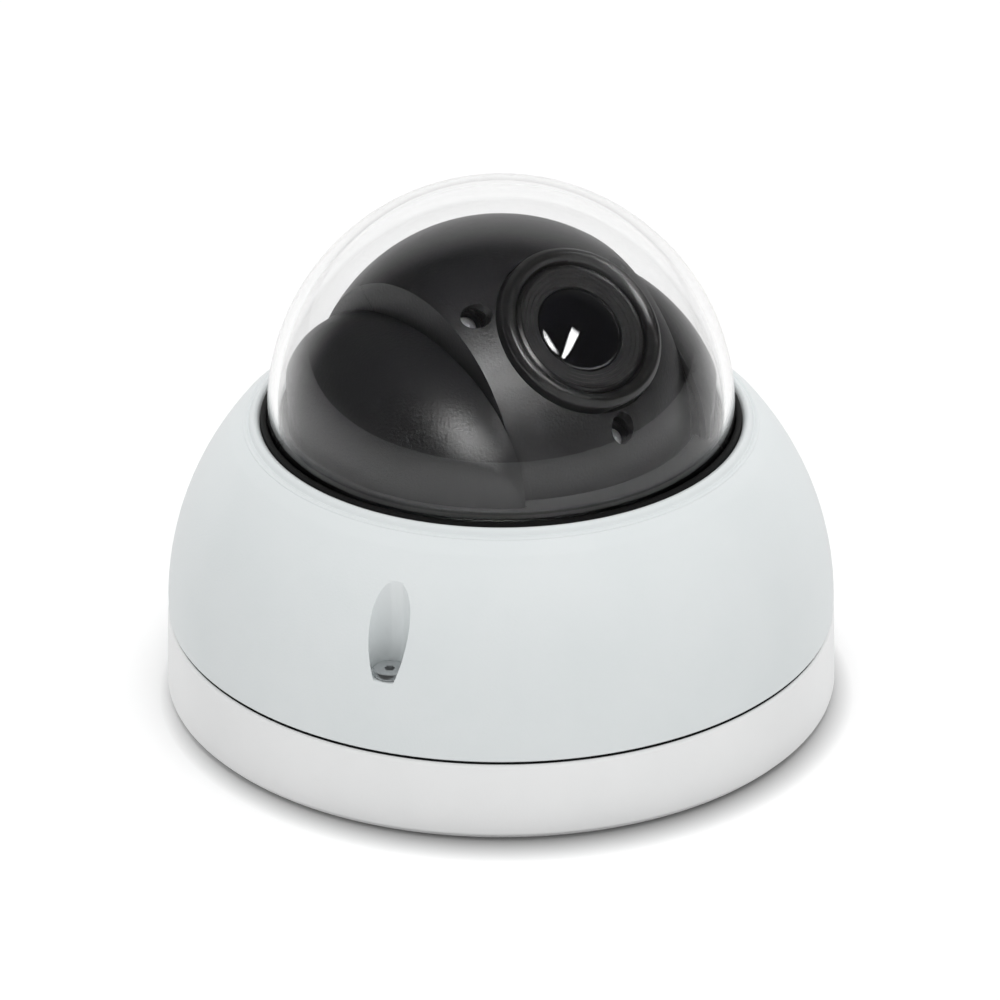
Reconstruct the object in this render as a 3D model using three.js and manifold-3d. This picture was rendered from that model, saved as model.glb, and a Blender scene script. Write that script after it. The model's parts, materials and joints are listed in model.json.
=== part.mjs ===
// Dome security camera with a motorised pan and tilt head and a clear bubble.
// Millimetres, +Z up, origin at the centre of the base's underside. The camera stands on its base,
// bubble up, as it does on a shelf before it is screwed to a ceiling.
import * as THREE from "three";
import { mergeVertices } from "three/addons/utils/BufferGeometryUtils.js";
import Module from "manifold-3d";

const wasm = await Module();
wasm.setup();

// ---------------------------------------------------------------- driving dimensions
const RING = 32; // sides of a large turned piece
const SMALL = 8; // sides of a screw or a small shaft
const ARM_SIDES = 20; // sides of an arm seen from above
const DEG = Math.PI / 180;
const PRESS = 0.15; // gap left between two pieces that touch on the real camera

const BASE_R = 61; // foot radius of the base casting
const SEAM_R = 60.7; // its radius just below the seam
const BASE_TOP = 15; // height of the base's upper edge
const FLOOR = 2.6; // thickness of the base's floor
const RIM_TOP = 18.6; // top of the rim that centres the cover
const COVER_BOTTOM = 15.5;
const COVER = { r: 60.6, rise: 56.6, z: 17, wall: 2.4 }; // the cover is a zone of this ellipsoid
const SHOULDER_Z = 50.8; // the ellipsoid ends here, below the lip
const LIP_R = 43.5; // bore of the lip around the bubble
const SEAT = { z: 50, r: 46.9, low: 48.6 }; // step that the bubble's flange sits under
const HEAD_Z = 55; // centre of bubble, ball and tilt axle
const DOME_R = 42.2; // outside of the clear bubble
const DOME_WALL = 1.9;
const FLANGE = { r: 46.3, low: 47.8, high: 49.8 };

const DRUM = { inner: 37.7, outer: 39.3, low: 19, high: 53 };
const SKIRT = { r: 39.6, low: 53.15, high: 54.8 };
// Each arm is half an ellipsoid, trimmed to the radius r so that it stands inside the skirt.
const ARM = { at: 20, wide: 18, deep: 32, rise: 22.5, r: 38.4, wall: 1.6, low: 53.2 };
const SLOT_HALF = 20.5; // half of the slot between the arms
const BALL_R = 35;
const BALL_HALF = 20; // half of the ball's width between its flat sides
const BALL_WALL = 1.8;
const BALL_SPLIT = 8; // plane between front and rear half shells, along the lens axis
const BEZEL_R = 15.5;
const BEZEL_FRONT = 34.2; // how far the bezel stands from the ball's centre
const BARREL_R = 12.3;
const GLASS_R = 8;
const GLASS_BACK = 30.4; // rear face of the front lens, almost level with the bezel
const FRONT_SCREWS = { circle: 18.6, angles: [270, 30, 150] };

const PAN_AT_REST = 39 * DEG; // the lens looks this far to the right of the front
const TILT_AT_REST = 47.5 * DEG; // and this far above the horizon

const COVER_SCREWS = { circle: 56, angles: [249.5, 69.5] }; // degrees from +X
const SCREW_WELL_R = 3.7;
const WELL_FLOOR = 28.8; // floor of the recess that a cover screw's head sits in
const BOARD_Z = 5.6;
const BOARD_TOP = 7.2;
const BOARD_R = 49;
const BOARD_SCREWS = { circle: 40, angles: [100, 220, 340] };
const DECK = { low: 10.6, high: 12.6, r: 55.3 };
const DECK_LEGS = { circle: 53, angles: [30, 150, 270] };
const WALL_HOLES = { circle: 46, angles: [0, 120, 240] };
const RING_SCREWS = { circle: 44.8, angles: [30, 150, 270] };
const YOKE_FOOT_X = 26.5; // screw places in the feet of the yoke plates
const BACKLASH = 0.2; // taken off the thickness of every gear tooth
const PAN_MESH = { module: 1.2, gear: 70, pinion: 10 };
const TILT_MESH = { module: 0.8, gear: 30, pinion: 10 };
const centreDistance = ({ module: size, gear, pinion }) => (size * (gear + pinion)) / 2;
const PAN_MOTOR_X = -centreDistance(PAN_MESH);
const TILT_MOTOR_Z = HEAD_Z - centreDistance(TILT_MESH);
const MOTOR_R = 7.5;
const MOTOR_EAR_Y = 11;
const TILT_MOTOR_X = -26.6;

// ---------------------------------------------------------------- materials
const paint = (color, roughness, metalness = 0, extra = {}) =>
  new THREE.MeshStandardMaterial({ color, roughness, metalness, ...extra });
const WHITE = paint(0xdfe3e3, 0.45);
const BLACK = paint(0x1b1b1c, 0.5);
const GREY = paint(0x4a4b4d, 0.55);
const CLEAR = paint(0xffffff, 0.03, 0, { transparent: true, opacity: 0.2 });
const RUBBER = paint(0x0a0a0a, 0.8);
const STEEL = paint(0xb9bcc0, 0.3, 1);
const ALLOY = paint(0x9fa3a6, 0.45, 1);
const BOARD = paint(0x14502a, 0.5);
const NYLON = paint(0xe6e2d4, 0.5);
const GLASS = paint(0x101418, 0.05);
const BRASS = paint(0xb08d45, 0.35, 1);

// ---------------------------------------------------------------- solids from three.js geometry
function manifoldOf(positions, triangles) {
  const triVerts = new Uint32Array(triangles);
  return new wasm.Manifold(new wasm.Mesh({ numProp: 3, vertProperties: positions, triVerts }));
}

function solid(geometry) {
  const plain = geometry.clone();
  plain.deleteAttribute("normal");
  plain.deleteAttribute("uv");
  const merged = mergeVertices(plain, 1e-4);
  const positions = merged.attributes.position.array;
  const index = merged.index.array;
  const outward = [];
  const inward = [];
  for (let i = 0; i < index.length; i += 3) {
    const [a, b, c] = [index[i], index[i + 1], index[i + 2]];
    if (a === b || b === c || c === a) continue;
    outward.push(a, b, c);
    inward.push(a, c, b);
  }
  const made = manifoldOf(positions, outward);
  return made.volume() > 0 ? made : manifoldOf(positions, inward);
}

function geometryOf(shape) {
  const mesh = shape.getMesh();
  const geometry = new THREE.BufferGeometry();
  const positions = Float32Array.from(mesh.vertProperties);
  geometry.setAttribute("position", new THREE.BufferAttribute(positions, 3));
  geometry.setIndex(new THREE.BufferAttribute(Uint32Array.from(mesh.triVerts), 1));
  geometry.computeVertexNormals();
  return geometry;
}

const joined = (first, ...others) => others.reduce((sum, next) => sum.add(next), first);
const cut = (first, ...others) => others.reduce((left, next) => left.subtract(next), first);

// A profile of [radius, height] points turned about Z. It ends on the axis or closes on itself.
function turned(profile, sides = RING) {
  const points = profile.map(([r, z]) => new THREE.Vector2(r, z));
  if (profile[0][0] > 0) points.push(points[0].clone());
  return solid(new THREE.LatheGeometry(points, sides).rotateX(Math.PI / 2));
}

function rod(radius, low, high, sides = SMALL) {
  const geometry = new THREE.CylinderGeometry(radius, radius, high - low, sides);
  return solid(geometry.rotateX(Math.PI / 2).translate(0, 0, (low + high) / 2));
}

const tube = (inner, outer, low, high, sides = RING) =>
  turned([[inner, low], [outer, low], [outer, high], [inner, high]], sides);

function block(low, high) {
  const size = high.map((value, i) => value - low[i]);
  const middle = high.map((value, i) => (value + low[i]) / 2);
  return solid(new THREE.BoxGeometry(...size).translate(...middle));
}

function plate(outline, low, high) {
  const settings = { depth: high - low, bevelEnabled: false, curveSegments: 12 };
  return solid(new THREE.ExtrudeGeometry(outline, settings).translate(0, 0, low));
}

// Points [radius, height] on an ellipse centred on the axis, between two angles above the horizon.
function arc(radius, rise, centreZ, from, to, steps) {
  return Array.from({ length: steps + 1 }, (_, i) => {
    const angle = from + ((to - from) * i) / steps;
    return [Math.max(0, radius * Math.cos(angle)), centreZ + rise * Math.sin(angle)];
  });
}

const polar = (radius, degrees) => [
  radius * Math.cos(degrees * DEG),
  radius * Math.sin(degrees * DEG),
];
const around = ({ circle, angles }) => angles.map((angle) => polar(circle, angle));
const rodsAt = (places, radius, low, high, sides = SMALL) =>
  places.map(([x, y]) => rod(radius, low, high, sides).translate([x, y, 0]));

// Turns a solid made along Z so that it lies along X: its x goes to Y and its y to Z.
const alongX = (shape) => shape.transform([0, 1, 0, 0, 0, 0, 1, 0, 1, 0, 0, 0, 0, 0, 0, 1]);

// ---------------------------------------------------------------- the group and its frames
const camera = new THREE.Group();
const panFrame = new THREE.Group(); // turns with the pan; the lens looks along its -Y
panFrame.rotation.z = PAN_AT_REST;
const lensFrame = new THREE.Group(); // turns with the tilt; +Z is the lens axis, +X the tilt axle
lensFrame.position.z = HEAD_Z;
lensFrame.rotation.x = Math.PI / 2 - TILT_AT_REST;
camera.add(panFrame);
panFrame.add(lensFrame);

function add(frame, name, shape, material) {
  const mesh = new THREE.Mesh(geometryOf(shape), material.clone());
  mesh.name = name;
  frame.add(mesh);
}

// A screw along Z: its thread from tip to seat and its head above the seat.
function screw({ thread, head, tip, seat, rise, socket = false }) {
  const top = seat + rise;
  const body = turned(
    [[0, tip], [thread, tip], [thread, seat], [head, seat], [head, top], [0, top]],
    SMALL,
  );
  return socket ? cut(body, rod(head * 0.45, seat + rise * 0.4, top + 1, 6)) : body;
}

function addScrews(frame, prefix, places, size) {
  places.forEach(([x, y], i) => {
    add(frame, prefix + (i + 1), screw(size).translate([x, y, 0]), STEEL);
  });
}

// ---------------------------------------------------------------- gears
const involute = (angle) => Math.tan(angle) - angle;
const PRESSURE = 20 * DEG;

// A stub-tooth spur gear's outline, with one tooth centred at the phase angle.
function gearOutline(size, teeth, phase) {
  const pitch = (size * teeth) / 2;
  const base = pitch * Math.cos(PRESSURE);
  const halfAtPitch = Math.PI / (2 * teeth) - BACKLASH / (2 * pitch);
  const halfAt = (r) =>
    halfAtPitch + involute(PRESSURE) - involute(Math.acos(base / Math.max(r, base)));
  const flank = [pitch - 1.05 * size, pitch + 0.65 * size].map((r) => [r, halfAt(r)]);
  const points = [];
  for (let i = 0; i < teeth; i++) {
    const middle = phase + (2 * Math.PI * i) / teeth;
    for (const [r, half] of flank) points.push([r, middle - half]);
    for (const [r, half] of flank.toReversed()) points.push([r, middle + half]);
  }
  return new THREE.Shape(
    points.map(([r, angle]) => new THREE.Vector2(r * Math.cos(angle), r * Math.sin(angle))),
  );
}

// ---------------------------------------------------------------- base and what stands on it
function mountBase() {
  const groove = BASE_TOP - 1.3; // floor of the seal's groove
  const body = turned([
    [8, 0], [BASE_R - 1.2, 0], [BASE_R, 1.2], [SEAM_R, BASE_TOP - 0.5], [SEAM_R - 0.4, BASE_TOP],
    [60.1, BASE_TOP], [60.1, groove], [58.8, groove], [58.8, BASE_TOP], [57.9, BASE_TOP],
    [57.9, RIM_TOP], [56.3, RIM_TOP], [56.3, 12.8], [58, 11], [58, FLOOR], [8, FLOOR],
  ]);
  const screws = around(COVER_SCREWS);
  return cut(
    joined(
      body,
      ...rodsAt(screws, 4.4, FLOOR - 0.5, BASE_TOP, 12),
      ...rodsAt(around(BOARD_SCREWS), 3, FLOOR - 0.5, BOARD_Z - PRESS, 10),
    ),
    tube(58.8, 60.1, groove, BASE_TOP + 1),
    ...rodsAt(screws, 2.3, 7, 20),
    ...rodsAt(screws, 6, BASE_TOP, 20, 12),
    ...rodsAt(around(BOARD_SCREWS), 1.4, 2.9, 7),
    ...rodsAt(around(DECK_LEGS), 1.6, 0.8, 4),
    ...rodsAt(around(WALL_HOLES), 1.9, -1, 4),
  );
}

function mainBoard() {
  const z = BOARD_TOP - 0.2;
  const processor = block([-27, -25, z], [-13, -11, BOARD_TOP + 1.2]);
  const memory = block([-24, 4, z], [-14, 13, BOARD_TOP + 1]);
  const transformer = block([16, 12, z], [34, 22, BOARD_TOP + 2.8]);
  const headConnector = block([14, -34, z], [28, -28, BOARD_TOP + 2.8]);
  const powerCoil = block([28, -7, z], [38, 4, BOARD_TOP + 2.4]);
  const cableConnector = block([-4, 28, z], [10, 34, BOARD_TOP + 2.8]);
  const disc = tube(11, BOARD_R, BOARD_Z, BOARD_TOP, 24);
  const parts = [processor, memory, transformer, headConnector, powerCoil, cableConnector];
  return cut(joined(disc, ...parts), ...rodsAt(around(BOARD_SCREWS), 1.5, 4, 9));
}

const panMotorScrews = [[PAN_MOTOR_X, -MOTOR_EAR_Y], [PAN_MOTOR_X, MOTOR_EAR_Y]];

function chassisPlate() {
  const disc = tube(6, DECK.r, DECK.low, DECK.high);
  const spindle = tube(6, 9, DECK.low, 19.45, 20);
  const legs = rodsAt(around(DECK_LEGS), 3, FLOOR + PRESS, DECK.low + 1, 10);
  const posts = rodsAt(panMotorScrews, 2.2, DECK.low + 1, 17.2, 10);
  return cut(
    joined(disc, spindle, ...legs, ...posts),
    ...rodsAt(around(COVER_SCREWS), 5.4, 9, 14, 12),
    ...rodsAt(around(DECK_LEGS), 1.6, 0, 14),
    ...rodsAt(panMotorScrews, 1.1, 14, 18),
  );
}

// A stepper motor standing on Z = 0 with its shaft bore facing down, and two ears.
function motorBody(height) {
  const bevel = 0.8;
  const can = turned(
    [[0, 0], [MOTOR_R, 0], [MOTOR_R, height - bevel], [MOTOR_R - bevel, height], [0, height]],
    16,
  );
  return joined(can, block([-3, -13.4, 0], [3, 13.4, 0.8]));
}

function panMotor() {
  const ears = [[0, -MOTOR_EAR_Y], [0, MOTOR_EAR_Y]];
  const body = cut(motorBody(9.7), rod(1.6, -1, 2.4), ...rodsAt(ears, 1.2, -1, 2));
  return body.translate([PAN_MOTOR_X, 0, 17.35]);
}

function panPinion() {
  const phase = Math.PI / PAN_MESH.pinion;
  const gear = plate(gearOutline(PAN_MESH.module, PAN_MESH.pinion, phase), 13.5, 16.4);
  return joined(gear, rod(1.3, 13, 19.4)).translate([PAN_MOTOR_X, 0, 0]);
}

function addBase() {
  const grommet = turned(
    [
      [3.4, 0.3], [7.8, 0.3], [7.8, 2.75], [9.8, 2.75],
      [9.8, 4], [5.2, 4.4], [4.6, 6.4], [3.4, 6.4],
    ],
    16,
  );
  const panBush = turned(
    [[9.2, 12.75], [13, 12.75], [13, 13.3], [10.15, 13.3], [10.15, 18.7], [9.2, 18.7]],
    20,
  );
  const boardScrew = { thread: 1.2, head: 2.2, tip: 3.1, seat: BOARD_TOP + PRESS, rise: 1.4 };
  const deckScrew = { thread: 1.3, head: 2.2, tip: 1, seat: DECK.high + PRESS, rise: 1.6 };
  const motorScrew = { thread: 0.85, head: 1.8, tip: 14.2, seat: 18.3, rise: 1.1 };
  add(camera, "mount_base", mountBase(), WHITE);
  add(camera, "cable_grommet", grommet, RUBBER);
  add(camera, "base_seal", tube(58.95, 59.95, 13.85, COVER_BOTTOM - PRESS), RUBBER);
  add(camera, "main_board", mainBoard(), BOARD);
  addScrews(camera, "board_screw_", around(BOARD_SCREWS), boardScrew);
  add(camera, "chassis_plate", chassisPlate(), ALLOY);
  addScrews(camera, "deck_screw_", around(DECK_LEGS), deckScrew);
  add(camera, "pan_bush", panBush, NYLON);
  add(camera, "pan_clip", tube(9.2, 12.4, 18.95, 19.4, 20), STEEL);
  add(camera, "pan_motor", panMotor(), STEEL);
  addScrews(camera, "pan_motor_screw_", panMotorScrews, motorScrew);
  add(camera, "pan_pinion", panPinion(), BRASS);
}

// ---------------------------------------------------------------- cover and bubble
const coverAngle = (z, rise) => Math.asin((z - COVER.z) / rise);

function coverArc(inset, low, high, steps) {
  const rise = COVER.rise - inset;
  const from = coverAngle(low, rise);
  const to = coverAngle(high, rise);
  return arc(COVER.r - inset, rise, COVER.z, from, to, steps);
}

function topCover() {
  const outside = coverArc(0, COVER_BOTTOM, SHOULDER_Z, 6);
  const shell = turned([
    ...outside,
    [46.6, 52.6], [46.1, 52.8], [45.6, 52.6], [45.2, 53.3], [44.6, 53.8], [43.9, 53.6], [LIP_R, 53],
    [LIP_R, SEAT.z], [SEAT.r, SEAT.z],
    ...coverArc(COVER.wall, COVER_BOTTOM, SEAT.low, 4).reverse(),
  ]);
  const filled = turned([[0, COVER_BOTTOM], ...outside, [0, SHOULDER_Z]]);
  const places = around(COVER_SCREWS);
  const bosses = rodsAt(places, 5.2, COVER_BOTTOM, 49, 16).map((boss) => boss.intersect(filled));
  return cut(
    joined(shell, ...bosses),
    ...rodsAt(places, SCREW_WELL_R, WELL_FLOOR, 60, 16),
    ...rodsAt(places, 2.3, 10, WELL_FLOOR + 1),
    ...rodsAt(around(RING_SCREWS), 1.05, 47, 51.9),
  );
}

function domeBubble() {
  const innerR = DOME_R - DOME_WALL;
  const quarter = Math.PI / 2;
  const outer = turned([
    [0, FLANGE.low], [FLANGE.r, FLANGE.low], [FLANGE.r, FLANGE.high], [DOME_R, FLANGE.high],
    ...arc(DOME_R, DOME_R, HEAD_Z, 0, quarter, 7),
  ]);
  const inner = turned([
    [0, FLANGE.low - 1], [innerR, FLANGE.low - 1],
    ...arc(innerR, innerR, HEAD_Z, 0, quarter, 7),
  ]);
  return cut(outer, inner, ...rodsAt(around(RING_SCREWS), 1.05, 40, 52));
}

function addCover() {
  const low = 45.4;
  const ring = cut(tube(40.7, 47, low, 47.65), ...rodsAt(around(RING_SCREWS), 1.05, 40, 52));
  const coverSeat = WELL_FLOOR + PRESS;
  const coverScrew = { thread: 1.7, head: 2.9, tip: 8, seat: coverSeat, rise: 1.2, socket: true };
  // The ring's screws point up, so they are made head up and turned over.
  const ringScrew = { thread: 0.8, head: 1.7, tip: -51.6, seat: PRESS - low, rise: 1.2 };
  add(camera, "top_cover", topCover(), WHITE);
  addScrews(camera, "cover_screw_", around(COVER_SCREWS), coverScrew);
  add(camera, "dome_bubble", domeBubble(), CLEAR);
  add(camera, "dome_gasket", tube(DOME_R + 0.1, LIP_R - 0.1, 49.95, 53.9), RUBBER);
  add(camera, "dome_ring", ring, BLACK);
  around(RING_SCREWS).forEach(([x, y], i) => {
    const upright = screw(ringScrew).rotate([180, 0, 0]).translate([x, y, 0]);
    add(camera, `dome_ring_screw_${i + 1}`, upright, STEEL);
  });
}

// ---------------------------------------------------------------- pan: turntable and yoke
// The footprint of one arm, grown by a margin, standing between two heights.
function armPost(margin, low, high) {
  const post = rod(1, low, high, ARM_SIDES).scale([ARM.wide + margin, ARM.deep + margin, 1]);
  return post.translate([ARM.at, 0, 0]).intersect(rod(ARM.r + margin, low, high, RING));
}

function armSolid(margin) {
  const cap = turned([[0, 0], ...arc(1, 1, 0, 0, Math.PI / 2, 5)], ARM_SIDES);
  const size = [ARM.wide + margin, ARM.deep + margin, ARM.rise + margin];
  const trimmed = cap.scale(size).translate([ARM.at, 0, HEAD_Z]);
  const round = rod(ARM.r + margin, 0, 100, RING);
  return joined(trimmed.intersect(round), armPost(margin, ARM.low, HEAD_Z));
}

function armCover() {
  const hollow = joined(armSolid(-ARM.wall), armPost(-ARM.wall, ARM.low - 1, HEAD_Z));
  return cut(armSolid(0), hollow).intersect(block([SLOT_HALF, -60, 0], [60, 60, 100]));
}

function headSkirt() {
  const { r, low, high } = SKIRT;
  const beside = block([SLOT_HALF - 0.3, -60, low - 2], [60, 60, high + 2]);
  const arm = armPost(0.25, low - 1, high + 1).intersect(beside);
  const band = block([-SLOT_HALF, -60, low - 2], [SLOT_HALF, 60, high + 2]);
  const ball = rod(BALL_R + 0.7, low - 1, high + 1, RING).intersect(band);
  return cut(rod(r, low, high, RING), ball, arm, arm.rotate([0, 0, 180]));
}

function yokePlate() {
  const half = 28.8;
  const outline = new THREE.Shape();
  outline.moveTo(-half, DRUM.low);
  outline.lineTo(half, DRUM.low);
  outline.lineTo(half, HEAD_Z);
  outline.absellipse(0, HEAD_Z, half, 20, 0, Math.PI, false, 0);
  const bore = rod(4.7, 20, 23, 16).translate([0, HEAD_Z, 0]);
  const wall = alongX(cut(plate(outline, SLOT_HALF, 22.3), bore));
  const foot = block([22, -14, DRUM.low], [31, 14, 20.8]);
  return cut(joined(wall, foot), ...rodsAt([[YOKE_FOOT_X, 0]], 1.4, 16, 23));
}

function tiltMotor() {
  const posts = rodsAt([[0, -9.5], [0, 9.5]], 1.6, -4.1, 0.4);
  const upright = cut(joined(motorBody(7.4), ...posts), rod(1.1, -1, 2.4));
  return upright.rotate([0, -90, 0]).translate([TILT_MOTOR_X, 0, TILT_MOTOR_Z]);
}

function tiltPinion() {
  const phase = Math.PI / 2 + Math.PI / TILT_MESH.pinion;
  const gear = plate(gearOutline(TILT_MESH.module, TILT_MESH.pinion, phase), -25.9, -23.4);
  return alongX(joined(gear, rod(0.85, -28.4, -23))).translate([0, 0, TILT_MOTOR_Z]);
}

function addPan() {
  const feet = [[YOKE_FOOT_X, 0], [-YOKE_FOOT_X, 0]];
  const turntable = cut(tube(10.4, 38.6, 16.75, 18.75), ...rodsAt(feet, 1.4, 15, 20));
  const towardsPinion = Math.PI - PAN_AT_REST;
  const gearDisc = plate(gearOutline(PAN_MESH.module, PAN_MESH.gear, towardsPinion), 13.5, 16.6);
  const yokeScrew = { thread: 1.2, head: 2.2, tip: 16.9, seat: 20.95, rise: 1.4 };
  const bush = alongX(tube(3.2, 4.5, 20.35, 22.6, 16).translate([0, HEAD_Z, 0]));
  add(panFrame, "turntable", turntable, BLACK);
  add(panFrame, "pan_gear", cut(gearDisc, rod(34, 10, 20, 24)), NYLON);
  addScrews(panFrame, "yoke_screw_", feet, yokeScrew);
  add(panFrame, "head_drum", tube(DRUM.inner, DRUM.outer, DRUM.low, DRUM.high), BLACK);
  add(panFrame, "head_skirt", headSkirt(), GREY);
  for (const [side, turn] of [["right", 0], ["left", 180]]) {
    add(panFrame, `arm_cover_${side}`, armCover().rotate([0, 0, turn]), BLACK);
    add(panFrame, `yoke_plate_${side}`, yokePlate().rotate([0, 0, turn]), ALLOY);
    add(panFrame, `tilt_bush_${side}`, bush.rotate([0, 0, turn]), NYLON);
  }
  add(panFrame, "tilt_motor", tiltMotor(), STEEL);
  add(panFrame, "tilt_pinion", tiltPinion(), BRASS);
}

// ---------------------------------------------------------------- tilt: the ball and its camera
function ballSlice(radius, half) {
  const quarter = Math.PI / 2;
  const sphere = turned(arc(radius, radius, 0, -quarter, quarter, 12), 24);
  return sphere.intersect(block([-half, -60, -60], [half, 60, 60]));
}

function ballShells() {
  const outer = ballSlice(BALL_R, BALL_HALF);
  const inner = ballSlice(BALL_R - BALL_WALL, BALL_HALF - 1.6);
  const places = around(FRONT_SCREWS);
  const posts = rodsAt(places, 3.1, -40, 40, 10).map((post) => post.intersect(outer));
  const hollow = joined(cut(outer, inner), ...posts);
  const threads = rodsAt(places, 1.3, -3, 40);
  const front = cut(
    hollow.intersect(block([-60, -60, BALL_SPLIT + 0.05], [60, 60, 60])),
    rod(BEZEL_R + 0.25, 10, 50, 28),
    ...rodsAt(places, 2.4, 24, 40),
    ...threads,
  );
  const rear = cut(
    hollow.intersect(block([-60, -60, -60], [60, 60, BALL_SPLIT - 0.05])),
    alongX(rod(3.3, -30, 30, 16)),
    ...threads,
  );
  return { front, rear };
}

function filterHousing() {
  const slot = block([-12.2, -4.7, -3.9], [12.2, 4.7, -2.3]);
  return cut(block([-13.5, -5.8, -6], [13.5, 5.8, -0.3]), rod(4.2, -8, 2, 16), slot);
}

const smallStepper = (length) =>
  turned([[0, 0], [2.9, 0], [2.9, length], [1, length], [1, length + 5], [0, length + 5]], 12);

function addBall() {
  const { front, rear } = ballShells();
  const frontScrew = { thread: 1, head: 1.9, tip: -2.6, seat: 24.15, rise: 1.4, socket: true };
  const bezel = turned(
    [
      [12.6, 26], [BEZEL_R, 26], [BEZEL_R, BEZEL_FRONT - 1.2], [BEZEL_R - 1, BEZEL_FRONT],
      [13.6, BEZEL_FRONT], [12.6, BEZEL_FRONT - 0.9],
    ],
    28,
  );
  const barrel = turned(
    [
      [10.6, 0], [BARREL_R, 0], [BARREL_R, 32.7], [11.8, 33.1], [GLASS_R + 0.2, 32.5],
      [GLASS_R + 0.2, GLASS_BACK - 0.2], [7.4, GLASS_BACK - 0.2], [7.4, GLASS_BACK - 0.8],
      [10.6, GLASS_BACK - 0.8],
    ],
    28,
  );
  const glass = turned(
    [
      [0, GLASS_BACK], [GLASS_R, GLASS_BACK],
      ...arc(GLASS_R, 1.8, GLASS_BACK + 1.8, 0, Math.PI / 2, 4),
    ],
    20,
  );
  const zoom = turned([[0, 11.8], [8.2, 11], [10.3, 11], [10.3, 17], [8.2, 17], [0, 15.6]], 16);
  const focus = turned([[0, 2.7], [8.2, 2.2], [10.3, 2.2], [10.3, 5.7], [8.2, 5.7], [0, 6]], 16);
  const board = block([-11.8, -14.2, -8.7], [11.8, 14.2, -7.3]);
  const sensor = block([-4.6, -3.6, -7.5], [4.6, 3.6, -6.2]);
  const axle = (end) =>
    alongX(turned([[0, 16.6], [5, 16.6], [5, 18.2], [3, 18.2], [3, end], [0, end]], 16));
  const towardsPinion = -Math.PI / 2 - lensFrame.rotation.x;
  const wheel = plate(gearOutline(TILT_MESH.module, TILT_MESH.gear, towardsPinion), -26, -23.3);
  add(lensFrame, "ball_front_shell", front, BLACK);
  add(lensFrame, "ball_rear_shell", rear, BLACK);
  addScrews(lensFrame, "front_screw_", around(FRONT_SCREWS), frontScrew);
  add(lensFrame, "lens_bezel", bezel, BLACK);
  add(lensFrame, "lens_barrel", barrel, BLACK);
  add(lensFrame, "front_lens", glass, GLASS);
  add(lensFrame, "zoom_group", zoom, GLASS);
  add(lensFrame, "focus_group", focus, GLASS);
  add(lensFrame, "filter_housing", filterHousing(), BLACK);
  add(lensFrame, "ir_cut_filter", block([-11.7, -4.4, -3.6], [4.7, 4.4, -2.6]), GLASS);
  add(lensFrame, "sensor_board", joined(board, sensor), BOARD);
  add(lensFrame, "zoom_motor", smallStepper(9).translate([0, 15.9, 3]), STEEL);
  add(lensFrame, "focus_motor", smallStepper(8).translate([9, -13.5, 1]), STEEL);
  add(lensFrame, "tilt_axle_right", axle(23.4), STEEL);
  add(lensFrame, "tilt_axle_left", axle(27).rotate([0, 0, 180]), STEEL);
  add(lensFrame, "tilt_gear", alongX(cut(wheel, rod(3.2, -30, -20, 16))), NYLON);
}

addBase();
addCover();
addPan();
addBall();

export default camera;
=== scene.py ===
# The looks of a dome security camera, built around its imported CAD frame. Metres, +Z up.
import json
import math

import bmesh
import bpy
from mathutils import Matrix, Vector


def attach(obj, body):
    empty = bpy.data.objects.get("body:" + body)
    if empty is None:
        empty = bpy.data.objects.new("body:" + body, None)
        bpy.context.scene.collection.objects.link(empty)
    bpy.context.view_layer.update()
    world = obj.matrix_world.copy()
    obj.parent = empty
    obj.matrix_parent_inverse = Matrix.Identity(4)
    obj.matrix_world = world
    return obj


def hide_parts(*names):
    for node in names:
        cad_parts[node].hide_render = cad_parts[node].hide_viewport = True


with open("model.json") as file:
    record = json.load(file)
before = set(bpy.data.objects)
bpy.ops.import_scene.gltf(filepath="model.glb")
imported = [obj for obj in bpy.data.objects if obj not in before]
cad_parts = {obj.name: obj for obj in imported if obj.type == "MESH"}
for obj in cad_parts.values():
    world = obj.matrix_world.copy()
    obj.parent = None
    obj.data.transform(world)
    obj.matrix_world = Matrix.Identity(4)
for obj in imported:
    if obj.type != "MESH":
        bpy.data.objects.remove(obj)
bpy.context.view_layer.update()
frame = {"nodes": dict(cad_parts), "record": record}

MM = 0.001
SIDES = 192  # steps round a turned piece
HEAD = Vector((0, 0, 55 * MM))  # centre of bubble, ball and tilt axle
PAN = math.radians(39)  # the lens looks this far to the right of the front
TILT = math.radians(47.5)  # and this far above the horizon
PAN_TURN = Matrix.Rotation(PAN, 4, "Z")
LENS_TURN = Matrix.Translation(HEAD) @ PAN_TURN @ Matrix.Rotation(math.pi / 2 - TILT, 4, "X")
SCREW_CIRCLE = 56  # the cover's screws, in millimetres from the axis
SCREW_ANGLES = (249.5, 69.5)
WELL_FLOOR = 28.8  # floor of the recess that a cover screw's head sits in


# ---------------------------------------------------------------- mesh helpers
def finished(name, bm, node, body, material, smooth=35):
    """Makes an object of a bmesh in place of a CAD node and lets it ride on that node's body."""
    bmesh.ops.remove_doubles(bm, verts=bm.verts, dist=1e-7)
    bmesh.ops.recalc_face_normals(bm, faces=bm.faces)
    mesh = bpy.data.meshes.new(name)
    bm.to_mesh(mesh)
    bm.free()
    obj = bpy.data.objects.new(name, mesh)
    bpy.context.scene.collection.objects.link(obj)
    mesh.materials.append(material)
    mesh.shade_smooth()
    mesh.set_sharp_from_angle(angle=math.radians(smooth))
    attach(obj, body)
    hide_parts(node)
    return obj


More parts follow.
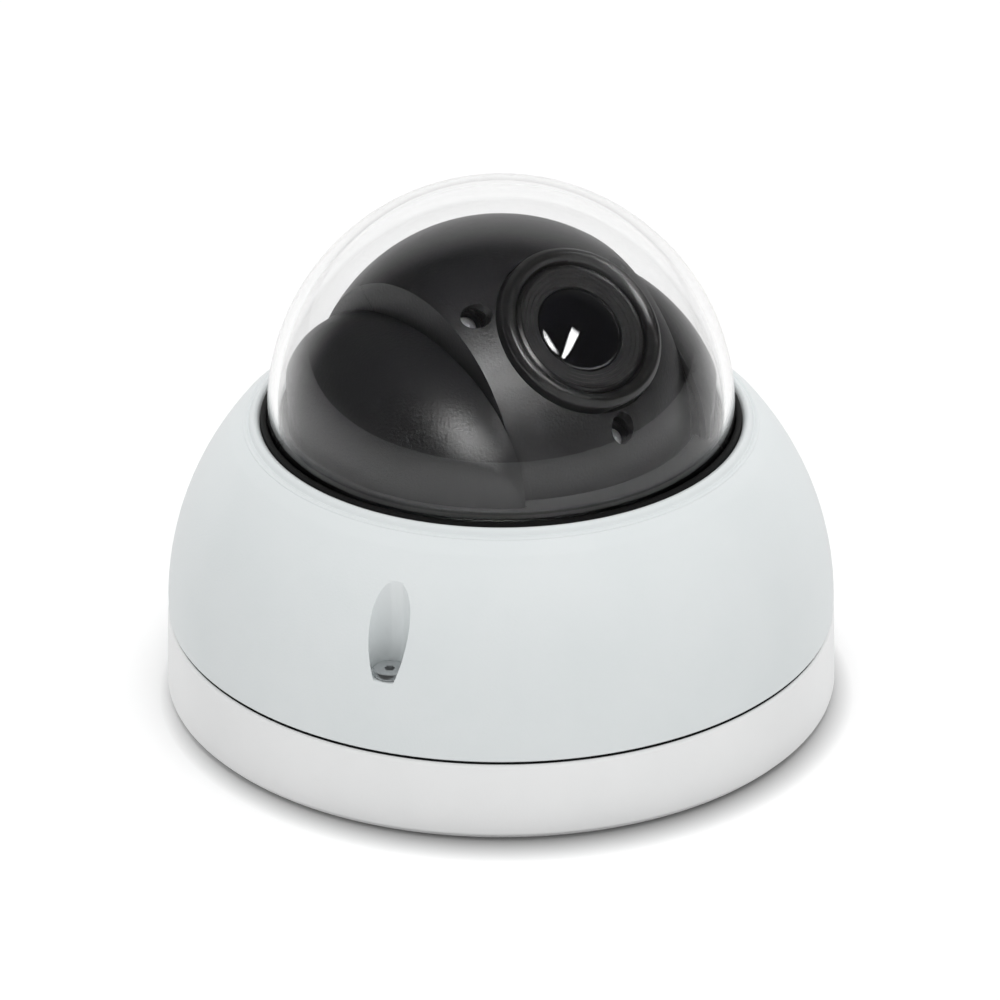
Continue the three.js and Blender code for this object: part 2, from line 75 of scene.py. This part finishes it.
def turned(profile, turn=Matrix.Identity(4), sides=SIDES):
    """A closed profile of [radius, height] in millimetres, spun about Z."""
    bm = bmesh.new()
    rings = []
    for r, z in profile:
        if r < 1e-6:
            rings.append([bm.verts.new((0, 0, z * MM))])
            continue
        ring = []
        for i in range(sides):
            angle = 2 * math.pi * i / sides
            ring.append(bm.verts.new((r * MM * math.cos(angle), r * MM * math.sin(angle), z * MM)))
        rings.append(ring)
    pairs = list(zip(rings, rings[1:]))
    if profile[0][0] > 1e-6:
        pairs.append((rings[-1], rings[0]))
    for low, high in pairs:
        for i in range(sides):
            corners = [low[i % len(low)], low[(i + 1) % len(low)]]
            corners += [high[(i + 1) % len(high)], high[i % len(high)]]
            corners = list(dict.fromkeys(corners))
            if len(corners) > 2:
                bm.faces.new(corners)
    bm.transform(turn)
    return bm


def arc(radius, rise, centre_z, start, end, steps):
    """Points [radius, height] on an ellipse about the axis, between two angles in radians."""
    points = []
    for i in range(steps + 1):
        angle = start + (end - start) * i / steps
        points.append([max(0.0, radius * math.cos(angle)), centre_z + rise * math.sin(angle)])
    return points


def rounded(corners, radius=0.35, steps=4):
    """A closed profile with each corner off the axis rounded by up to the radius."""
    made = []
    for i, (r, z) in enumerate(corners):
        here = Vector((r, z))
        before = Vector(corners[i - 1]) - here
        after = Vector(corners[(i + 1) % len(corners)]) - here
        reach = min(radius, before.length * 0.45, after.length * 0.45)
        if r < 1e-6 or reach < 1e-4:
            made.append([r, z])
            continue
        start = here + before.normalized() * reach
        end = here + after.normalized() * reach
        for k in range(steps + 1):
            t = k / steps
            point = start * (1 - t) ** 2 + here * 2 * t * (1 - t) + end * t * t
            made.append([point.x, point.y])
    return made


def polar(radius, degrees):
    angle = math.radians(degrees)
    return radius * math.cos(angle), radius * math.sin(angle)


def boolean(obj, cutter, operation="DIFFERENCE"):
    """Applies a boolean and removes the cutter."""
    modifier = obj.modifiers.new("cut", "BOOLEAN")
    modifier.operation = operation
    modifier.object = cutter
    modifier.solver = "EXACT"
    graph = bpy.context.evaluated_depsgraph_get()
    mesh = bpy.data.meshes.new_from_object(obj.evaluated_get(graph))
    obj.modifiers.clear()
    old = obj.data
    obj.data = mesh
    bpy.data.meshes.remove(old)
    bpy.data.objects.remove(cutter)


def tool_from(bm, name="cutter"):
    """A bare object that only cuts another one."""
    bmesh.ops.recalc_face_normals(bm, faces=bm.faces)
    mesh = bpy.data.meshes.new(name)
    bm.to_mesh(mesh)
    bm.free()
    obj = bpy.data.objects.new(name, mesh)
    bpy.context.scene.collection.objects.link(obj)
    return obj


def rod(radius, low, high, at=(0, 0), sides=48, turn=Matrix.Identity(4)):
    move = turn @ Matrix.Translation((at[0] * MM, at[1] * MM, 0))
    return turned([[0, low], [radius, low], [radius, high], [0, high]], move, sides)


def rods(radius, low, high, places, sides=48, turn=Matrix.Identity(4)):
    """Several separate rods in one mesh."""
    whole = bmesh.new()
    for place in places:
        one = rod(radius, low, high, place, sides, turn)
        mesh = bpy.data.meshes.new("rod")
        one.to_mesh(mesh)
        one.free()
        whole.from_mesh(mesh)
        bpy.data.meshes.remove(mesh)
    return whole


def around(circle, angles):
    return [polar(circle, angle) for angle in angles]


# ---------------------------------------------------------------- materials
def principled(name, color, roughness, metallic=0.0, **sockets):
    material = bpy.data.materials.new(name)
    material.use_nodes = True
    shader = material.node_tree.nodes["Principled BSDF"]
    shader.inputs["Base Color"].default_value = (*color, 1)
    shader.inputs["Roughness"].default_value = roughness
    shader.inputs["Metallic"].default_value = metallic
    for socket, value in sockets.items():
        shader.inputs[socket.replace("_", " ")].default_value = value
    return material


def add_noise(material, scale, detail=4.0):
    nodes = material.node_tree.nodes
    links = material.node_tree.links
    place = nodes.new("ShaderNodeTexCoord")
    noise = nodes.new("ShaderNodeTexNoise")
    noise.inputs["Scale"].default_value = scale
    noise.inputs["Detail"].default_value = detail
    links.new(place.outputs["Object"], noise.inputs["Vector"])
    return noise


def textured(material, scale, height, rough=None, tint=None, spread=2.0):
    """Adds moulded grain: bump, and a roughness and a colour that vary with it."""
    nodes = material.node_tree.nodes
    links = material.node_tree.links
    shader = nodes["Principled BSDF"]
    grain = add_noise(material, scale)
    bump = nodes.new("ShaderNodeBump")
    bump.inputs["Strength"].default_value = 1.0
    bump.inputs["Distance"].default_value = height
    links.new(grain.outputs["Fac"], bump.inputs["Height"])
    links.new(bump.outputs["Normal"], shader.inputs["Normal"])
    broad = add_noise(material, scale / 40, spread)
    if rough:
        span = nodes.new("ShaderNodeMapRange")
        span.inputs["To Min"].default_value = rough[0]
        span.inputs["To Max"].default_value = rough[1]
        links.new(broad.outputs["Fac"], span.inputs["Value"])
        links.new(span.outputs["Result"], shader.inputs["Roughness"])
    if tint:
        ramp = nodes.new("ShaderNodeValToRGB")
        ramp.color_ramp.elements[0].position = 0.3
        ramp.color_ramp.elements[0].color = (*tint[0], 1)
        ramp.color_ramp.elements[1].position = 0.7
        ramp.color_ramp.elements[1].color = (*tint[1], 1)
        links.new(broad.outputs["Fac"], ramp.inputs["Fac"])
        links.new(ramp.outputs["Color"], shader.inputs["Base Color"])
    return material


def cover_white():
    material = principled("cover_white", (0.74, 0.775, 0.78), 0.42, Coat_Weight=0.08)
    tint = ((0.73, 0.767, 0.772), (0.75, 0.782, 0.787))
    return textured(material, 2600, 0.00003, (0.38, 0.48), tint)


def base_white():
    material = principled("base_white", (0.85, 0.855, 0.855), 0.4, Coat_Weight=0.08)
    tint = ((0.84, 0.846, 0.846), (0.86, 0.864, 0.864))
    return textured(material, 2600, 0.00002, (0.36, 0.46), tint)


def black_plastic():
    material = principled("black_plastic", (0.012, 0.012, 0.013), 0.42)
    tint = ((0.010, 0.010, 0.011), (0.016, 0.016, 0.017))
    return textured(material, 2000, 0.00007, (0.34, 0.46), tint)


def smooth_black():
    material = principled("smooth_black", (0.01, 0.01, 0.011), 0.28)
    return textured(material, 900, 0.00001, (0.22, 0.34), ((0.008,) * 3, (0.013,) * 3))


def skirt_grey():
    material = principled("skirt_grey", (0.05, 0.05, 0.053), 0.5)
    return textured(material, 1500, 0.00005, (0.44, 0.58), ((0.045,) * 3, (0.058,) * 3))


def clear_plastic():
    material = principled("clear_bubble", (1, 1, 1), 0.0, IOR=1.5, Transmission_Weight=1.0)
    noise = add_noise(material, 12)
    nodes = material.node_tree.nodes
    span = nodes.new("ShaderNodeMapRange")
    span.inputs["To Min"].default_value = 0.0
    span.inputs["To Max"].default_value = 0.02
    material.node_tree.links.new(noise.outputs["Fac"], span.inputs["Value"])
    material.node_tree.links.new(span.outputs["Result"], nodes["Principled BSDF"].inputs["Roughness"])
    return material


def rubber():
    material = principled("rubber", (0.006, 0.006, 0.006), 0.75)
    return textured(material, 1800, 0.00003, (0.68, 0.82), ((0.005,) * 3, (0.009,) * 3))


def metal(name, color, rough, scale=1200):
    material = principled(name, color, rough[0], 1.0)
    darker = tuple(c * 0.88 for c in color)
    return textured(material, scale, 0.00001, rough, (darker, color))


def circuit_board():
    material = principled("circuit_board", (0.012, 0.09, 0.035), 0.4)
    return textured(material, 700, 0.00002, (0.3, 0.5), ((0.009, 0.07, 0.028), (0.016, 0.11, 0.04)))


def nylon():
    material = principled("nylon", (0.74, 0.71, 0.62), 0.45, Subsurface_Weight=0.05)
    return textured(material, 900, 0.00002, (0.38, 0.52), ((0.70, 0.67, 0.58), (0.76, 0.73, 0.64)))


def coated_glass():
    """Near black glass: the coatings of a deep lens send back more than plain glass does."""
    material = principled("coated_glass", (0.003, 0.003, 0.005), 0.03, IOR=1.9)
    tone = add_noise(material, 60)
    span = material.node_tree.nodes.new("ShaderNodeMapRange")
    span.inputs["To Min"].default_value = 0.02
    span.inputs["To Max"].default_value = 0.04
    shader = material.node_tree.nodes["Principled BSDF"]
    material.node_tree.links.new(tone.outputs["Fac"], span.inputs["Value"])
    material.node_tree.links.new(span.outputs["Result"], shader.inputs["Roughness"])
    return material


WHITE = cover_white()
BASE = base_white()
BLACK = black_plastic()
SMOOTH = smooth_black()
GREY = skirt_grey()
CLEAR = clear_plastic()
RUBBER = rubber()
STEEL = metal("plated_steel", (0.72, 0.73, 0.74), (0.38, 0.5))
ALLOY = metal("cast_alloy", (0.56, 0.57, 0.58), (0.4, 0.55), 600)
BRASS = metal("turned_brass", (0.72, 0.53, 0.22), (0.24, 0.36))
BOARD = circuit_board()
NYLON = nylon()
GLASS = coated_glass()


# ---------------------------------------------------------------- white housing
COVER_R = 60.6
COVER_RISE = 56.6
COVER_Z = 17
COVER_LOW = 15.5
SHOULDER = 50.8
RING_SCREWS = (44.8, (30, 150, 270))  # circle and angles of the bubble ring's screws
BOARD_SCREWS = (40, (100, 220, 340))
DECK_LEGS = (53, (30, 150, 270))
WALL_HOLES = (46, (0, 120, 240))


def cover_arc(inset, low, high, steps):
    rise = COVER_RISE - inset
    start = math.asin((low - COVER_Z) / rise)
    end = math.asin((high - COVER_Z) / rise)
    return arc(COVER_R - inset, rise, COVER_Z, start, end, steps)


def make_cover():
    edge = rounded([[46.6, 52.6], [46.1, 52.78], [45.6, 52.6], [45.2, 53.3], [44.6, 53.8],
                    [43.9, 53.6], [43.5, 53], [43.5, 50], [46.9, 50]], 0.3)
    inside = list(reversed(cover_arc(2.4, COVER_LOW, 48.6, 24)))
    profile = cover_arc(0, COVER_LOW + 0.35, SHOULDER, 48) + edge + inside + [[60.2, COVER_LOW]]
    cover = finished("cover_shell", turned(profile), "top_cover", "housing", WHITE)
    inset = 0.5  # keeps a boss's outer face inside the shell's wall
    filled = cover_arc(inset, COVER_LOW, SHOULDER - inset, 48)
    solid = [[0, COVER_LOW], *filled, [0, SHOULDER - inset]]
    wells = around(SCREW_CIRCLE, SCREW_ANGLES)
    bosses = tool_from(rods(5.2, COVER_LOW + 0.1, 49, wells))
    boolean(bosses, tool_from(turned(solid)), "INTERSECT")
    boolean(cover, bosses, "UNION")
    boolean(cover, tool_from(rods(3.7, WELL_FLOOR, 60, wells)))
    boolean(cover, tool_from(rods(2.3, 10, WELL_FLOOR + 1, wells)))
    boolean(cover, tool_from(rods(1.05, 47, 51.9, around(*RING_SCREWS))))
    cover.data.set_sharp_from_angle(angle=math.radians(35))
    bevel = cover.modifiers.new("soft_edges", "BEVEL")
    bevel.width = 0.25 * MM
    bevel.segments = 2
    bevel.limit_method = "ANGLE"
    bevel.angle_limit = math.radians(40)
    return cover


def make_base():
    profile = rounded([
        [8, 0], [59.8, 0], [61, 1.2], [60.7, 14.5], [60.3, 15], [60.1, 15], [60.1, 13.7],
        [58.8, 13.7], [58.8, 15], [57.9, 15], [57.9, 18.6], [56.3, 18.6], [56.3, 12.8],
        [58, 11], [58, 2.6], [8, 2.6],
    ], 0.3)
    base = finished("base_shell", turned(profile), "mount_base", "housing", BASE)
    wells = around(SCREW_CIRCLE, SCREW_ANGLES)
    bosses = tool_from(rods(4.4, 2.2, 14.9, wells))
    boolean(bosses, tool_from(rod(59.7, 0, 20, sides=SIDES)), "INTERSECT")
    boolean(base, bosses, "UNION")
    boolean(base, tool_from(rods(3, 2.2, 5.45, around(*BOARD_SCREWS))), "UNION")
    groove = [[58.8, 13.7], [60.1, 13.7], [60.1, 16], [58.8, 16]]
    boolean(base, tool_from(turned(groove)))
    boolean(base, tool_from(rods(6, 15, 20, wells)))
    boolean(base, tool_from(rods(2.3, 7, 20, wells)))
    boolean(base, tool_from(rods(1.4, 2.9, 7, around(*BOARD_SCREWS))))
    boolean(base, tool_from(rods(1.6, 0.8, 4, around(*DECK_LEGS))))
    boolean(base, tool_from(rods(1.9, -1, 4, around(*WALL_HOLES))))
    base.data.set_sharp_from_angle(angle=math.radians(35))
    return base


def make_bubble():
    quarter = math.pi / 2
    inner = list(reversed(arc(40.3, 40.3, 55, 0, quarter, 64)))
    flange = rounded([[40.3, 47.8], [46.3, 47.8], [46.3, 49.8], [42.2, 49.8]], 0.2)
    outer = arc(42.2, 42.2, 55, 0, quarter, 64)
    bm = turned(inner + flange + outer)
    dome = finished("clear_dome", bm, "dome_bubble", "housing", CLEAR)
    boolean(dome, tool_from(rods(1.05, 40, 52, around(*RING_SCREWS))))
    dome.data.set_sharp_from_angle(angle=math.radians(35))
    return dome


def make_gasket():
    profile = rounded([[42.3, 49.95], [43.4, 49.95], [43.4, 53.9], [42.3, 53.9]], 0.45)
    return finished("bubble_seal", turned(profile), "dome_gasket", "housing", RUBBER)


def make_grommet():
    profile = rounded([[3.4, 0.3], [7.8, 0.3], [7.8, 2.75], [9.8, 2.75], [9.8, 4], [5.2, 4.4],
                       [4.6, 6.4], [3.4, 6.4]], 0.3)
    bm = turned(profile, sides=64)
    return finished("lead_grommet", bm, "cable_grommet", "housing", RUBBER)


def soften(obj, width=0.3, angle=40):
    """Rounds the sharp edges that booleans leave."""
    bevel = obj.modifiers.new("soft_edges", "BEVEL")
    bevel.width = width * MM
    bevel.segments = 3
    bevel.limit_method = "ANGLE"
    bevel.angle_limit = math.radians(angle)
    bevel.harden_normals = True


def box_tool(low, high, turn=Matrix.Identity(4)):
    bm = bmesh.new()
    bmesh.ops.create_cube(bm, size=1)
    size = [(b - a) * MM for a, b in zip(low, high)]
    middle = [(a + b) / 2 * MM for a, b in zip(low, high)]
    bm.transform(turn @ Matrix.Translation(middle) @ Matrix.Diagonal((*size, 1)))
    return tool_from(bm)


def make_screw(name, node, body, place, size, turn=Matrix.Identity(4)):
    """A screw with a rounded head and a hexagonal socket. size is thread, head, tip, seat, rise."""
    thread, head, tip, seat, rise = size
    top = seat + rise
    corners = [[0, tip], [thread, tip], [thread, seat], [head, seat], [head, top], [0, top]]
    move = turn @ Matrix.Translation((place[0] * MM, place[1] * MM, 0))
    obj = finished(name, turned(rounded(corners, 0.35), move, 48), node, body, STEEL)
    boolean(obj, tool_from(rod(head * 0.34, seat + rise * 0.4, top + 1, place, 6, turn)))
    obj.data.set_sharp_from_angle(angle=math.radians(35))
    return obj


# ---------------------------------------------------------------- pan head
ARM_AT = 20
ARM_WIDE = 18
ARM_DEEP = 32
ARM_RISE = 22.5
ARM_R = 38.4
ARM_WALL = 1.6
ARM_LOW = 53.2
SLOT_HALF = 20.5
HEAD_MM = 55


def arm_form(margin, low, turn=Matrix.Identity(4)):
    """Half an ellipsoid on a short upright foot, trimmed to a radius, as a cutting tool."""
    rise = ARM_RISE + margin
    foot = (low - HEAD_MM) / rise
    profile = [[0, foot], [1, foot], *arc(1, 1, 0, 0, math.pi / 2, 40)]
    scale = Matrix.Diagonal((ARM_WIDE + margin, ARM_DEEP + margin, rise, 1))
    place = Matrix.Translation((ARM_AT * MM, 0, HEAD_MM * MM))
    form = tool_from(turned(profile, turn @ place @ scale, 128), "arm_form")
    boolean(form, tool_from(rod(ARM_R + margin, 0, 100, sides=SIDES, turn=turn)), "INTERSECT")
    return form


def make_arm(side, half_turn):
    """The arm is cut square to the axes and turned into place afterwards."""
    shell = arm_form(0, ARM_LOW)
    boolean(shell, arm_form(-ARM_WALL, ARM_LOW - 1))
    boolean(shell, box_tool((SLOT_HALF, -60, 0), (60, 60, 100)), "INTERSECT")
    shell.data.transform(PAN_TURN @ Matrix.Rotation(half_turn, 4, "Z"))
    shell.name = f"arm_shell_{side}"
    shell.data.materials.append(BLACK)
    shell.data.shade_smooth()
    shell.data.set_sharp_from_angle(angle=math.radians(35))
    soften(shell)
    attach(shell, "pan_head")
    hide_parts(f"arm_cover_{side}")


def make_skirt():
    profile = rounded([[0, 53.15], [39.6, 53.15], [39.6, 54.8], [0, 54.8]], 0.3)
    skirt = finished("foot_ring", turned(profile), "head_skirt", "pan_head", GREY)
    ball = tool_from(rod(35.7, 50, 57, sides=SIDES))
    boolean(ball, box_tool((-SLOT_HALF, -60, 40), (SLOT_HALF, 60, 60)), "INTERSECT")
    boolean(skirt, ball)
    for half_turn in (0, math.pi):
        turn = Matrix.Rotation(half_turn, 4, "Z")
        gap = arm_form(0.25, 50, turn)
        boolean(gap, box_tool((SLOT_HALF - 0.3, -60, 40), (60, 60, 54.9), turn), "INTERSECT")
        boolean(skirt, gap)
    skirt.data.transform(PAN_TURN)
    skirt.data.set_sharp_from_angle(angle=math.radians(35))
    return skirt


def make_drum():
    profile = rounded([[37.7, 19], [39.3, 19], [39.3, 53], [37.7, 53]], 0.4)
    bm = turned(profile, PAN_TURN)
    return finished("drum_wall", bm, "head_drum", "pan_head", BLACK)


# ---------------------------------------------------------------- ball and lens
BALL_R = 35
BALL_HALF = 20
BALL_WALL = 1.8
BALL_SPLIT = 8
FRONT_SCREW_CIRCLE = 18.6
FRONT_SCREW_ANGLES = (270, 30, 150)


def ball_slice(radius, half):
    quarter = math.pi / 2
    slice_ = tool_from(turned(arc(radius, radius, 0, -quarter, quarter, 96), LENS_TURN), "slice")
    boolean(slice_, box_tool((-half, -60, -60), (half, 60, 60), LENS_TURN), "INTERSECT")
    return slice_


def make_ball_shell(name, node, low, high, front):
    shell = ball_slice(BALL_R, BALL_HALF)
    boolean(shell, ball_slice(BALL_R - BALL_WALL, BALL_HALF - 1.6))
    boolean(shell, box_tool((-60, -60, low), (60, 60, high), LENS_TURN), "INTERSECT")
    for angle in FRONT_SCREW_ANGLES:
        place = polar(FRONT_SCREW_CIRCLE, angle)
        post = tool_from(rod(3.1, low, 26 if front else high, place, 40, LENS_TURN))
        boolean(post, ball_slice(BALL_R - 0.3, BALL_HALF - 0.3), "INTERSECT")
        boolean(shell, post, "UNION")
    if front:
        boolean(shell, tool_from(rod(15.75, 10, 50, sides=128, turn=LENS_TURN)))
    else:
        boolean(shell, tool_from(rod(3.3, -30, 30, turn=LENS_TURN @ Matrix.Rotation(math.pi / 2, 4, "Y"))))
    for angle in FRONT_SCREW_ANGLES:
        place = polar(FRONT_SCREW_CIRCLE, angle)
        boolean(shell, tool_from(rod(1.3, -3, 40, place, 24, LENS_TURN)))
        if front:
            boolean(shell, tool_from(rod(2.4, 24, 40, place, 48, LENS_TURN)))
    shell.name = name
    shell.data.materials.append(BLACK)
    shell.data.shade_smooth()
    shell.data.set_sharp_from_angle(angle=math.radians(35))
    soften(shell, 0.2)
    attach(shell, "camera_ball")
    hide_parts(node)


def lens_piece(name, profile, node, material, sides=128):
    return finished(name, turned(profile, LENS_TURN, sides), node, "camera_ball", material)


def make_lens():
    bezel = rounded([[12.6, 26], [15.5, 26], [15.5, 33], [14.5, 34.2], [13.6, 34.2],
                     [12.6, 33.3]], 0.45)
    lens_piece("bezel_ring", bezel, "lens_bezel", SMOOTH)
    ridges = []
    for i in range(4):  # fine ridges on the ring round the glass
        r = 11.4 - i * 0.8
        z = 33.02 - i * 0.13
        ridges += [[r, z], [r - 0.1, z - 0.13]]
    barrel = [[10.6, 0], [12.3, 0], [12.3, 32.7], [11.8, 33.1], *ridges, [8.2, 32.5],
              [8.2, 30.2], [7.4, 30.2], [7.4, 29.6], [10.6, 29.6]]
    lens_piece("barrel_tube", barrel, "lens_barrel", SMOOTH)
    glass = [[0, 30.4], [8, 30.4], *arc(8, 1.8, 32.2, 0, math.pi / 2, 40)]
    lens_piece("front_glass", glass, "front_lens", GLASS)


SLOT_LOOKS = {
    "white_shell": WHITE, "base_white": BASE, "black_shell": SMOOTH, "grey_skirt": GREY,
    "clear_bubble": CLEAR, "rubber_seal": RUBBER, "steel": STEEL, "alloy": ALLOY,
    "circuit_board": BOARD, "nylon": NYLON, "lens_glass": GLASS, "brass": BRASS,
}


def dress_frame():
    """Gives every carried-over CAD node the look of its slot."""
    for part in frame["record"]["subparts"]:
        mesh = frame["nodes"][part["node"]].data
        mesh.materials.clear()
        mesh.materials.append(SLOT_LOOKS[part["material_slot"]])


# ---------------------------------------------------------------- camera, floor and light
GLOW_AT = (-0.10, -0.69, 0.72)  # direction of the soft overhead light that reflections show
STRIP_AT = (0.52, -0.54, 0.68)  # direction of the narrow strip light that the lens mirrors
PAINTED_SHADOW_AT = (1 * MM, -5 * MM, 0)  # middle of the shadow painted into the floor's colour, which lies towards the front
PAINTED_SHADOW = (55.5 * MM, 63.5 * MM, 0.28, 0.95)  # where the painted shadow starts and ends, and both its tones
GLOW = (0.92, 1.0, 0.0, 15.0)  # nearness to its middle where it starts and ends, and both strengths
STRIP_HALF_WIDTH = (0.048, 0.034)
STRIP_HALF_LENGTH = (0.52, 0.46)
STRIP_STRENGTH = 14.0
SOFT_LIGHT = (0.38, 0.76)  # even light from the back left and from the front right
SCREENED = 0.92  # share of the backdrop that the parts inside the bubble do not mirror
BEHIND_BUBBLE = 3.5  # a path that has come in and out of the bubble has passed four surfaces
FRONT_RIGHT = (0.35, -0.9, 0.25)  # where most of the soft light comes from
STRIP_LONG = (0.394, 0.843, 0.368)
STRIP_ACROSS = (-0.772, 0.077, 0.651)


class World:
    """Short calls that build the studio's world shader."""

    def __init__(self):
        world = bpy.data.worlds.new("studio")
        bpy.context.scene.world = world
        world.use_nodes = True
        self.tree = world.node_tree
        self.ray = self.tree.nodes.new("ShaderNodeTexCoord").outputs["Generated"]
        self.path = self.tree.nodes.new("ShaderNodeLightPath").outputs

    def math(self, operation, first, second=0.0):
        node = self.tree.nodes.new("ShaderNodeMath")
        node.operation = operation
        for socket, value in zip(node.inputs, (first, second)):
            if isinstance(value, (int, float)):
                socket.default_value = value
            else:
                self.tree.links.new(value, socket)
        return node.outputs[0]

    def along(self, direction):
        node = self.tree.nodes.new("ShaderNodeVectorMath")
        node.operation = "DOT_PRODUCT"
        self.tree.links.new(self.ray, node.inputs[0])
        node.inputs[1].default_value = direction
        return node.outputs["Value"]

    def fade(self, value, start, end, low=0.0, high=1.0):
        node = self.tree.nodes.new("ShaderNodeMapRange")
        node.interpolation_type = "SMOOTHSTEP"
        self.tree.links.new(value, node.inputs["Value"])
        for name, number in zip(("From Min", "From Max", "To Min", "To Max"), (start, end, low, high)):
            node.inputs[name].default_value = number
        return node.outputs["Result"]


def make_world():
    """White backdrop behind, dark room in front, and lights that only show through the bubble.

    Diffuse surfaces get an even light instead.
    """
    w = World()
    backdrop = w.fade(w.along((0, 1, 0)), 0.3, 0.75, 0.05, 1.0)
    glow = w.fade(w.along(GLOW_AT), *GLOW)
    across = w.fade(w.math("ABSOLUTE", w.along(STRIP_ACROSS)), *STRIP_HALF_WIDTH)
    length = w.fade(w.math("ABSOLUTE", w.along(STRIP_LONG)), *STRIP_HALF_LENGTH)
    ahead = w.math("GREATER_THAN", w.along(STRIP_AT), 0.5)
    behind_bubble = w.math("GREATER_THAN", w.path["Transmission Depth"], BEHIND_BUBBLE)
    strip = w.math("MULTIPLY", w.math("MULTIPLY", across, length), w.math("MULTIPLY", ahead, behind_bubble))
    glow_inside = w.math("MULTIPLY", glow, behind_bubble)
    reflected = w.math("GREATER_THAN", w.path["Glossy Depth"], 0.5)
    screened = w.math("MULTIPLY", w.math("MULTIPLY", reflected, behind_bubble), SCREENED)
    backdrop = w.math("MULTIPLY", backdrop, w.math("SUBTRACT", 1.0, screened))
    studio = w.math("ADD", w.math("ADD", backdrop, glow_inside), w.math("MULTIPLY", strip, STRIP_STRENGTH))
    mirrored = w.math("MAXIMUM", w.path["Is Glossy Ray"], w.path["Is Transmission Ray"])
    side_light = w.fade(w.along(FRONT_RIGHT), -1.0, 1.0, *SOFT_LIGHT)
    even = w.math("MULTIPLY", w.math("SUBTRACT", 1.0, mirrored), side_light)
    total = w.math("ADD", even, w.math("MULTIPLY", studio, mirrored))
    seen = w.math("MAXIMUM", total, w.path["Is Camera Ray"])
    w.tree.links.new(seen, w.tree.nodes["Background"].inputs["Strength"])
    w.tree.nodes["Background"].inputs["Color"].default_value = (1, 1, 1, 1)


def paint_floor_shadow(material):
    """A pale floor with a soft shadow painted into its colour and its faint glow round the foot of the
    object.
    """
    nodes = material.node_tree.nodes
    links = material.node_tree.links
    place = nodes.new("ShaderNodeTexCoord")
    reach = nodes.new("ShaderNodeVectorMath")
    reach.operation = "DISTANCE"
    reach.inputs[1].default_value = PAINTED_SHADOW_AT
    links.new(place.outputs["Object"], reach.inputs[0])
    span = nodes.new("ShaderNodeMapRange")
    for name, number in zip(("From Min", "From Max", "To Min", "To Max"), PAINTED_SHADOW):
        span.inputs[name].default_value = number
    links.new(reach.outputs["Value"], span.inputs["Value"])
    # painted shadow: the floor's colour and glow darken near the foot, whatever the lamps do
    for socket in ("Base Color", "Emission Color"):
        links.new(span.outputs["Result"], nodes["Principled BSDF"].inputs[socket])


def make_stage():
    bpy.ops.mesh.primitive_plane_add(size=8)
    floor = bpy.context.active_object
    floor.name = "floor"
    material = principled("floor", (0.95, 0.95, 0.95), 0.6, Emission_Strength=0.06)
    paint_floor_shadow(material)
    floor.data.materials.append(material)
    floor.visible_glossy = False
    lights = [  # name, place, size, power
        ("top", (0, 0.1, 1.2), 1.0, 8.1),
        ("left", (-1.0, -0.6, 0.6), 0.9, 0.8),
        ("right", (1.0, -0.6, 0.6), 0.9, 1.0),
    ]
    for name, place, size, power in lights:
        lamp = bpy.data.lights.new(name, "AREA")
        lamp.size = size
        lamp.energy = power
        obj = bpy.data.objects.new(name, lamp)
        obj.location = place
        obj.rotation_euler = (HEAD - Vector(place)).to_track_quat("-Z", "Y").to_euler()
        obj.visible_glossy = False
        obj.visible_transmission = False
        bpy.context.scene.collection.objects.link(obj)


def make_camera():
    data = bpy.data.cameras.new("camera")
    data.lens = 298.8
    data.sensor_width = 36
    data.clip_end = 20
    obj = bpy.data.objects.new("camera", data)
    obj.location = (0, -1.3346, 0.7297)
    aim = Vector((-0.0002, 0, 0.0362))
    obj.rotation_euler = (aim - obj.location).to_track_quat("-Z", "Y").to_euler()
    bpy.context.scene.collection.objects.link(obj)
    bpy.context.scene.camera = obj


make_world()
make_stage()
make_camera()
dress_frame()
make_cover()
make_base()
make_bubble()
make_gasket()
make_grommet()
make_drum()
make_skirt()
make_arm("right", 0)
make_arm("left", math.pi)
make_ball_shell("ball_face", "ball_front_shell", BALL_SPLIT + 0.05, 60, True)
make_ball_shell("ball_back", "ball_rear_shell", -60, BALL_SPLIT - 0.05, False)
make_lens()
for index, angle in enumerate(SCREW_ANGLES, 1):
    make_screw(f"housing_bolt_{index}", f"cover_screw_{index}", "housing",
               polar(SCREW_CIRCLE, angle), (1.7, 2.9, 8, WELL_FLOOR + 0.15, 1.2))
for index, angle in enumerate(FRONT_SCREW_ANGLES, 1):
    make_screw(f"face_bolt_{index}", f"front_screw_{index}", "camera_ball",
               polar(FRONT_SCREW_CIRCLE, angle), (1, 1.9, -2.6, 24.15, 1.4), LENS_TURN)
bpy.context.scene.view_settings.view_transform = "Standard"
